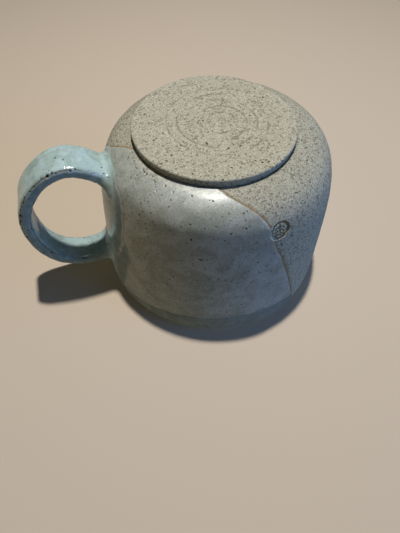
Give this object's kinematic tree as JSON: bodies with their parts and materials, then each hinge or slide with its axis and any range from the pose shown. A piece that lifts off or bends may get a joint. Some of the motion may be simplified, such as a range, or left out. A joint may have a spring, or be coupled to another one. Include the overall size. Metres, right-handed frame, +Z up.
{
  "type": "mug",
  "caption": "Low rounded stoneware mug with a ring-shaped strap handle, a turned foot disc, bare speckled clay and slanted dips of pale and celadon glaze.",
  "frame": {"origin": "centre of the foot disc's flat underside, where the mug stands", "axes": "+Z up along the axis the mug was thrown on, through the open mouth; +X from that axis to the handle; +Y completes a right-handed frame"},
  "size_m": [0.1291, 0.0996, 0.07],
  "materials": {
    "speckled_clay": "bare, matt, speckled",
    "pale_glaze": "satin",
    "celadon_glaze": "glossy"
  },
  "bodies": {
    "root": {"thrown_body": "speckled_clay", "foot_disc": "speckled_clay", "handle_strap": "speckled_clay", "handle_join_lower": "celadon_glaze", "handle_join_upper": "celadon_glaze", "maker_mark": "speckled_clay", "liner_glaze": "celadon_glaze", "rim_glaze": "celadon_glaze", "front_glaze": "pale_glaze", "handle_side_glaze": "celadon_glaze", "handle_glaze": "celadon_glaze"}
  },
  "joints": []
}
